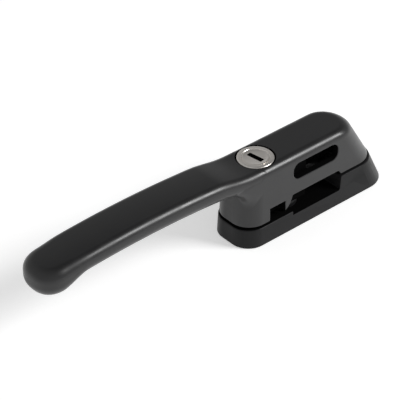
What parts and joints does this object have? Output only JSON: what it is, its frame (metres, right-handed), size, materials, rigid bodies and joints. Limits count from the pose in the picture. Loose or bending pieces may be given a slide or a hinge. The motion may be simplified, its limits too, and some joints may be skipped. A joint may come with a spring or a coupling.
{
  "type": "casement window lever fastener",
  "caption": "Lever handle fastener for an outward-opening casement, with a pivoting slotted head, a stepped screw-on base and a key lock that bolts the head to the base.",
  "frame": {"origin": "on the spindle's axis, in the mounting face under the base", "axes": "+Z leaves the sash along the spindle, -X runs along the lever to its free end, and the keeper comes in from -Y"},
  "size_m": [0.1753, 0.0228, 0.0384],
  "materials": {
    "black_paint": "semi-gloss black stove enamel on die-cast zinc",
    "lock_nickel": "satin nickel plate",
    "zinc_steel": "zinc plated steel",
    "spring_steel": "oiled spring steel",
    "brass": "turned brass",
    "acetal": "black acetal"
  },
  "bodies": {
    "base": {"base_plate": "black_paint", "pivot_bush": "brass", "friction_washer": "acetal"},
    "handle": {"handle_casting": "black_paint", "pivot_spindle": "zinc_steel", "stop_pin": "spring_steel", "disc_spring": "spring_steel", "thrust_washer": "zinc_steel", "retaining_ring": "spring_steel", "lock_housing": "lock_nickel", "lock_grub_screw": "zinc_steel", "guide_sleeve": "brass"},
    "key_plug": {"lock_plug": "lock_nickel", "lock_wafers": "brass", "wafer_springs": "spring_steel", "plug_clip": "spring_steel", "cam_barrel": "zinc_steel", "cam_screw": "zinc_steel"},
    "bolt": {"lock_bolt": "zinc_steel", "bolt_cross_pin": "zinc_steel"}
  },
  "joints": [
    {"name": "handle_turn", "type": "hinge", "parent": "base", "child": "handle", "pos_m": [0, 0, 0], "axis": [0, 0, 1], "range_deg": [0, 90]},
    {"name": "key_turn", "type": "hinge", "parent": "handle", "child": "key_plug", "pos_m": [-0.014, 0, 0.034], "axis": [0, 0, -1], "range_deg": [0, 90]},
    {"name": "bolt_slide", "type": "slide", "parent": "handle", "child": "bolt", "axis": [0, 0, -1], "range_m": [0, 0.004]}
  ],
  "couplings": [
    {"joint": "bolt_slide", "follows": "key_turn", "m_per_rad": 0.0025465}
  ]
}
